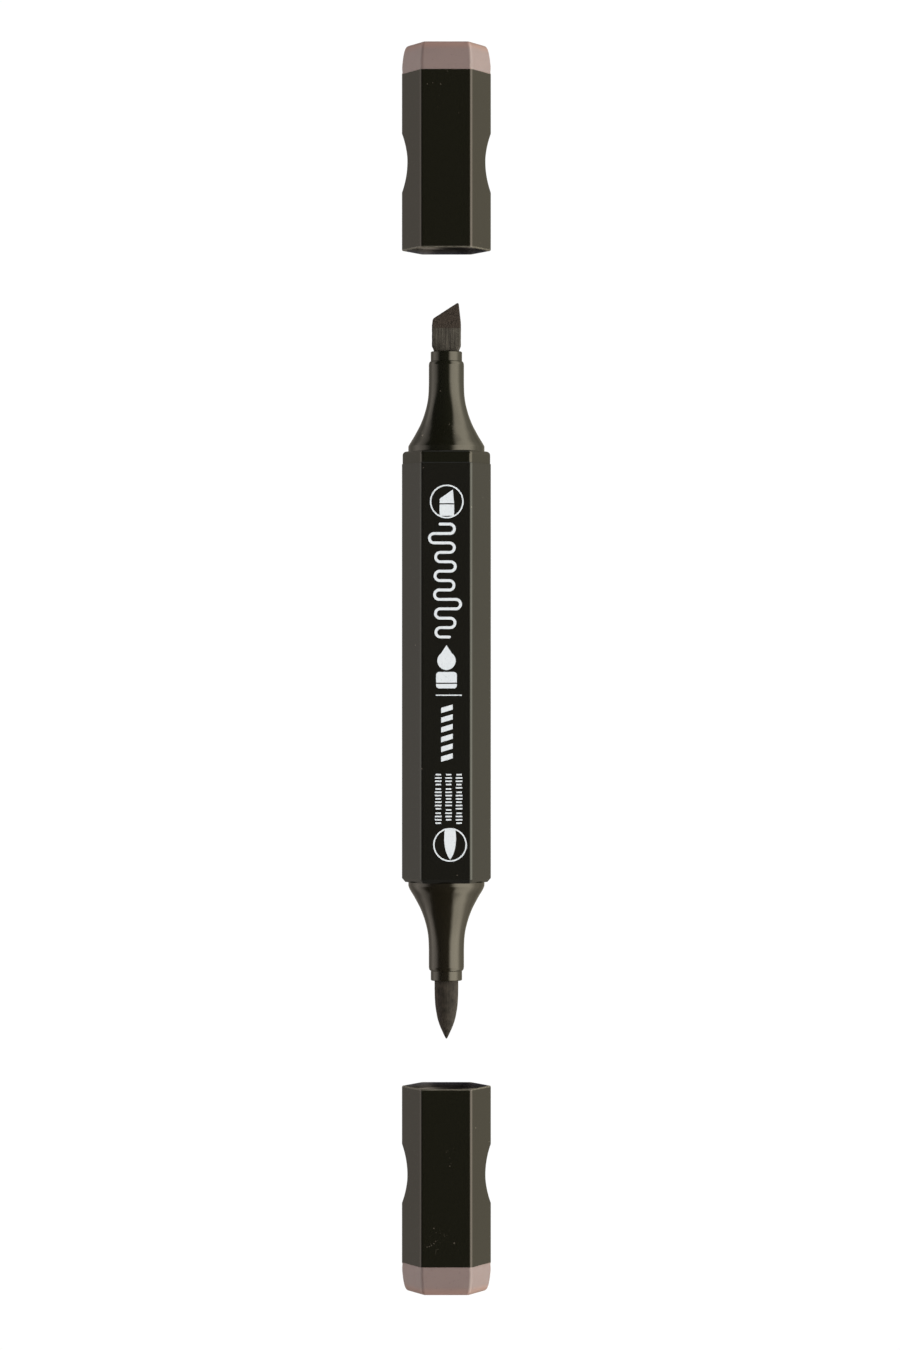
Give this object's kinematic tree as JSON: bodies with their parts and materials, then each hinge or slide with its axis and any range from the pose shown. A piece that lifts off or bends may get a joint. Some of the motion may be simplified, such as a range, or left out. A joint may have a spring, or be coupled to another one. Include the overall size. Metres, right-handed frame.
{
  "type": "twin-tip felt marker",
  "caption": "Hexagonal twin-tip felt marker with a chisel nib, a brush nib and pull-off caps, shown uncapped and upright.",
  "frame": {"origin": "centre of the closed end face of the brush cap, which the uncapped marker stands on", "axes": "+Z along the marker from the brush cap to the chisel cap, -Y out of the printed flat, +X towards the long corner of the chisel nib"},
  "size_m": [0.0158, 0.0143, 0.2215],
  "materials": {
    "barrel_plastic": "satin black",
    "holder_plastic": "polished black",
    "cap_plastic": "satin black",
    "end_plug_plastic": "satin warm grey",
    "chisel_felt": "ink-soaked felt",
    "brush_felt": "ink-soaked fibre",
    "reservoir_fibre": "ink-soaked fibre",
    "clear_film": "clear film",
    "seal_plastic": "waxy natural plastic",
    "white_print": "pad-printed ink"
  },
  "bodies": {
    "barrel_body": {"barrel": "barrel_plastic", "chisel_nib_holder": "holder_plastic", "brush_nib_holder": "holder_plastic", "chisel_nib": "chisel_felt", "brush_nib": "brush_felt", "ink_reservoir": "reservoir_fibre", "reservoir_film": "clear_film", "chisel_tip_icon": "white_print", "brush_tip_icon": "white_print", "printed_stroke": "white_print", "ink_drop_and_tile": "white_print", "divider_line": "white_print", "slanted_bars": "white_print", "tick_columns": "white_print"},
    "chisel_cap": {"chisel_cap_shell": "cap_plastic", "chisel_cap_end_plug": "end_plug_plastic", "chisel_cap_inner_seal": "seal_plastic"},
    "brush_cap": {"brush_cap_shell": "cap_plastic", "brush_cap_end_plug": "end_plug_plastic", "brush_cap_inner_seal": "seal_plastic"}
  },
  "joints": [
    {"name": "chisel_cap_pull", "type": "slide", "parent": "barrel_body", "child": "chisel_cap", "axis": [0, 0, -1], "range_m": [0, 0.0356]},
    {"name": "brush_cap_pull", "type": "slide", "parent": "barrel_body", "child": "brush_cap", "axis": [0, 0, 1], "range_m": [0, 0.03615]}
  ]
}
